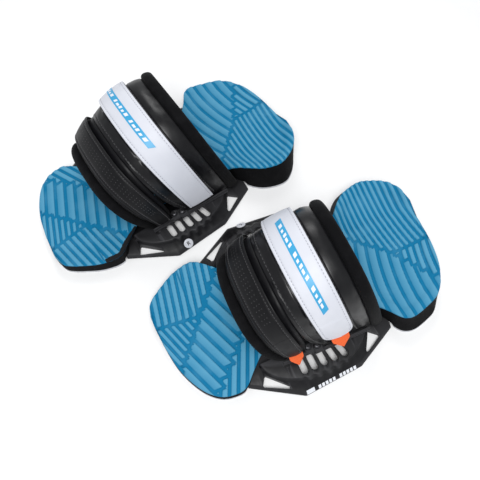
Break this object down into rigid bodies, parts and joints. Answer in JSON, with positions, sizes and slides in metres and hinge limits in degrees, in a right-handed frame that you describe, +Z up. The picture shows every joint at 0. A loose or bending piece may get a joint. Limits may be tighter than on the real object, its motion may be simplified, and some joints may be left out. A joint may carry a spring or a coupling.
{
  "type": "foot binding pair",
  "caption": "Left and right board foot bindings: ribbed foam footbed on a slotted nylon chassis, padded arch over the foot, hook-and-loop toe and instep straps.",
  "frame": {"origin": "under the middle of the pair, on the surface it stands on", "axes": "+X from the left foot towards the right foot, +Y towards the toes, +Z up; each foot is toed in by 5.57 degrees and the right foot stands 65 mm further forward"},
  "size_m": [0.4238, 0.3882, 0.1294],
  "materials": {
    "nylon": "moulded glass-filled nylon, fine texture",
    "black_foam": "moulded EVA foam, matt",
    "blue_foam": "moulded EVA foam, ribbed, matt",
    "base_skin": "thin foam skin, matt",
    "neoprene": "rolled neoprene binding, matt",
    "black_leatherette": "coated synthetic leather, soft sheen",
    "white_leatherette": "coated synthetic leather, stitched border",
    "blue_print": "thin welded film, satin",
    "orange_webbing": "woven webbing",
    "black_webbing": "hook-and-loop pile and webbing",
    "black_steel": "blackened steel, satin",
    "badge": "moulded disc, satin"
  },
  "bodies": {
    "left_binding": {"left_chassis": "nylon", "left_footbed": "blue_foam", "left_front_anchor_lateral": "black_webbing", "left_front_anchor_medial": "black_webbing", "left_front_screw_lateral": "black_steel", "left_front_screw_medial": "black_steel", "left_heel_base_skin": "base_skin", "left_heel_hem": "neoprene", "left_instep_label": "blue_print", "left_instep_pad": "black_leatherette", "left_instep_strap": "white_leatherette", "left_instep_strap_backing": "black_webbing", "left_midsole": "black_foam", "left_rear_anchor_lateral": "black_webbing", "left_rear_anchor_medial": "black_webbing", "left_rear_screw_lateral": "black_steel", "left_rear_screw_medial": "black_steel", "left_side_badge": "badge", "left_toe_base_skin": "base_skin", "left_toe_bolster": "black_leatherette", "left_toe_hem": "neoprene", "left_toe_strap": "black_leatherette", "left_toe_strap_backing": "black_webbing"},
    "left_toe_tail": {"left_toe_strap_tail": "black_leatherette", "left_toe_pull_tab": "orange_webbing"},
    "left_instep_tail": {"left_instep_strap_tail": "white_leatherette", "left_instep_pull_tab": "orange_webbing"},
    "right_binding": {"right_chassis": "nylon", "right_footbed": "blue_foam", "right_front_anchor_lateral": "black_webbing", "right_front_anchor_medial": "black_webbing", "right_front_screw_lateral": "black_steel", "right_front_screw_medial": "black_steel", "right_heel_base_skin": "base_skin", "right_heel_hem": "neoprene", "right_instep_label": "blue_print", "right_instep_pad": "black_leatherette", "right_instep_strap": "white_leatherette", "right_instep_strap_backing": "black_webbing", "right_midsole": "black_foam", "right_rear_anchor_lateral": "black_webbing", "right_rear_anchor_medial": "black_webbing", "right_rear_screw_lateral": "black_steel", "right_rear_screw_medial": "black_steel", "right_side_badge": "badge", "right_toe_base_skin": "base_skin", "right_toe_bolster": "black_leatherette", "right_toe_hem": "neoprene", "right_toe_strap": "black_leatherette", "right_toe_strap_backing": "black_webbing"},
    "right_toe_tail": {"right_toe_strap_tail": "black_leatherette", "right_toe_pull_tab": "orange_webbing"},
    "right_instep_tail": {"right_instep_strap_tail": "white_leatherette", "right_instep_pull_tab": "orange_webbing"}
  },
  "joints": [
    {"name": "stance", "type": "slide", "parent": "left_binding", "child": "right_binding", "axis": [1, 0, 0], "range_m": [0, 0.35]},
    {"name": "left_toe_tail_peel", "type": "hinge", "parent": "left_binding", "child": "left_toe_tail", "pos_m": [-0.16014, 0.02881, 0.06883], "axis": [0.1561, 0.7954, -0.5856], "range_deg": [0, 100]},
    {"name": "left_instep_tail_peel", "type": "hinge", "parent": "left_binding", "child": "left_instep_tail", "pos_m": [-0.17002, -0.0194, 0.08592], "axis": [0.1073, 0.9659, -0.2356], "range_deg": [0, 100]},
    {"name": "right_toe_tail_peel", "type": "hinge", "parent": "right_binding", "child": "right_toe_tail", "pos_m": [0.17123, 0.09896, 0.07081], "axis": [0.1535, -0.7808, 0.6056], "range_deg": [0, 100]},
    {"name": "right_instep_tail_peel", "type": "hinge", "parent": "right_binding", "child": "right_instep_tail", "pos_m": [0.18057, 0.05045, 0.08831], "axis": [0.1065, -0.963, 0.2475], "range_deg": [0, 100]}
  ]
}
